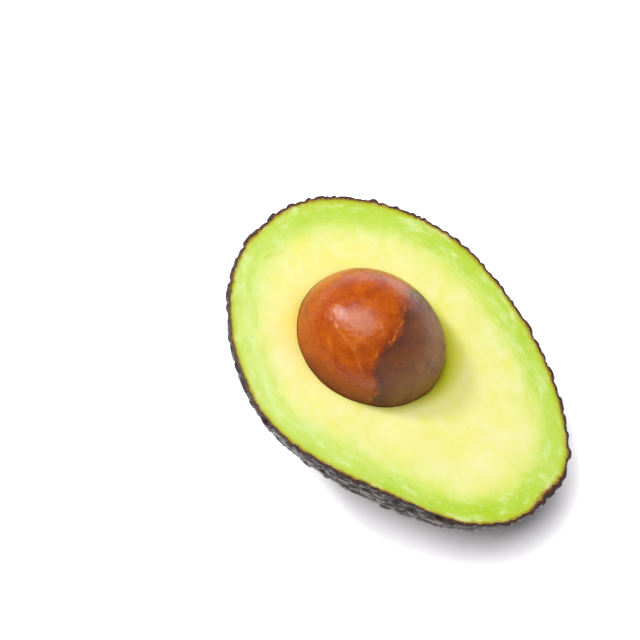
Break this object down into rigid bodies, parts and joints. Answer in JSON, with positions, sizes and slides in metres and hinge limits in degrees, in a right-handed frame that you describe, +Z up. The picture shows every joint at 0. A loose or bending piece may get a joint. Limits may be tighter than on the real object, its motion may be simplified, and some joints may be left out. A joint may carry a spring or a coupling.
{
  "type": "avocado half with seed",
  "caption": "Avocado cut in half along its length, with a thin dark pebbled peel, green and yellow flesh, and the whole brown seed half sunk in the flat cut face.",
  "frame": {"origin": "middle of the small flat spot underneath that the half rests on", "axes": "+Z up, +X level and pointing to the stem end, +Y to the left side of the fruit seen with the stem end ahead; the cut face dips 13 degrees towards the stem end and 10 degrees towards +Y"},
  "size_m": [0.0934, 0.0689, 0.0508],
  "materials": {
    "peel": "satin",
    "flesh": "satin",
    "seed": "satin"
  },
  "bodies": {
    "root": {"peel": "peel", "flesh": "flesh", "seed": "seed"}
  },
  "joints": []
}
